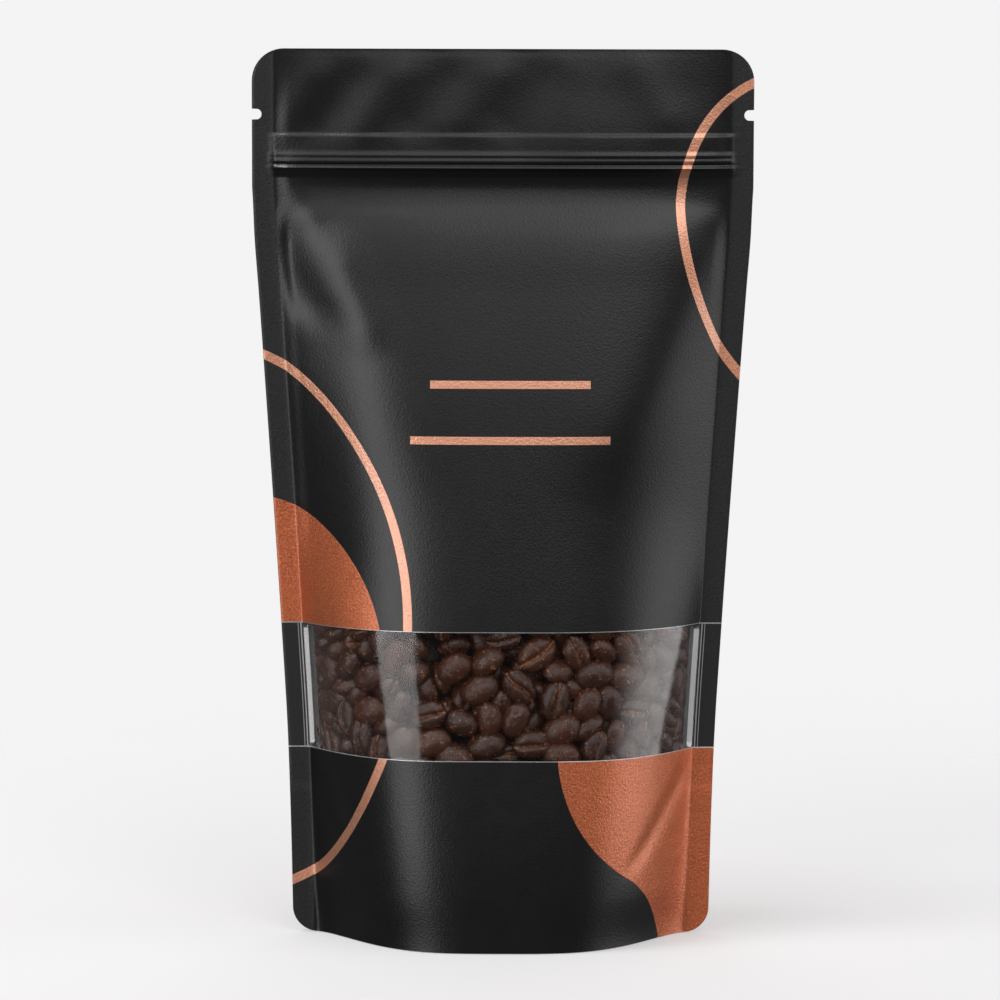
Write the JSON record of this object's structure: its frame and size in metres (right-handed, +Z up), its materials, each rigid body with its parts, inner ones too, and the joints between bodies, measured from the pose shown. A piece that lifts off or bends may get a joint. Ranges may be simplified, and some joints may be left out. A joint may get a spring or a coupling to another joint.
{
  "type": "stand-up coffee pouch",
  "caption": "Filled stand-up pouch of matte black foil laminate with side seals, press zip, tear notches, copper print and a clear window band onto roasted coffee beans.",
  "frame": {"origin": "on the floor under the middle of the standing pouch, in the plane of its side seals", "axes": "+Z up along the pouch's height, -Y towards the front panel with the window, +X to the right across the front"},
  "size_m": [0.14, 0.062, 0.25],
  "materials": {
    "foil_laminate": "matte black printed foil laminate with metallic copper print, silver inside",
    "clear_film": "clear glossy plastic film",
    "roasted_beans": "dark roasted coffee beans, slightly oily, with reddish brown chaff in the creases"
  },
  "bodies": {
    "root": {"pouch": "foil_laminate", "window": "clear_film", "beans": "roasted_beans"}
  },
  "joints": []
}
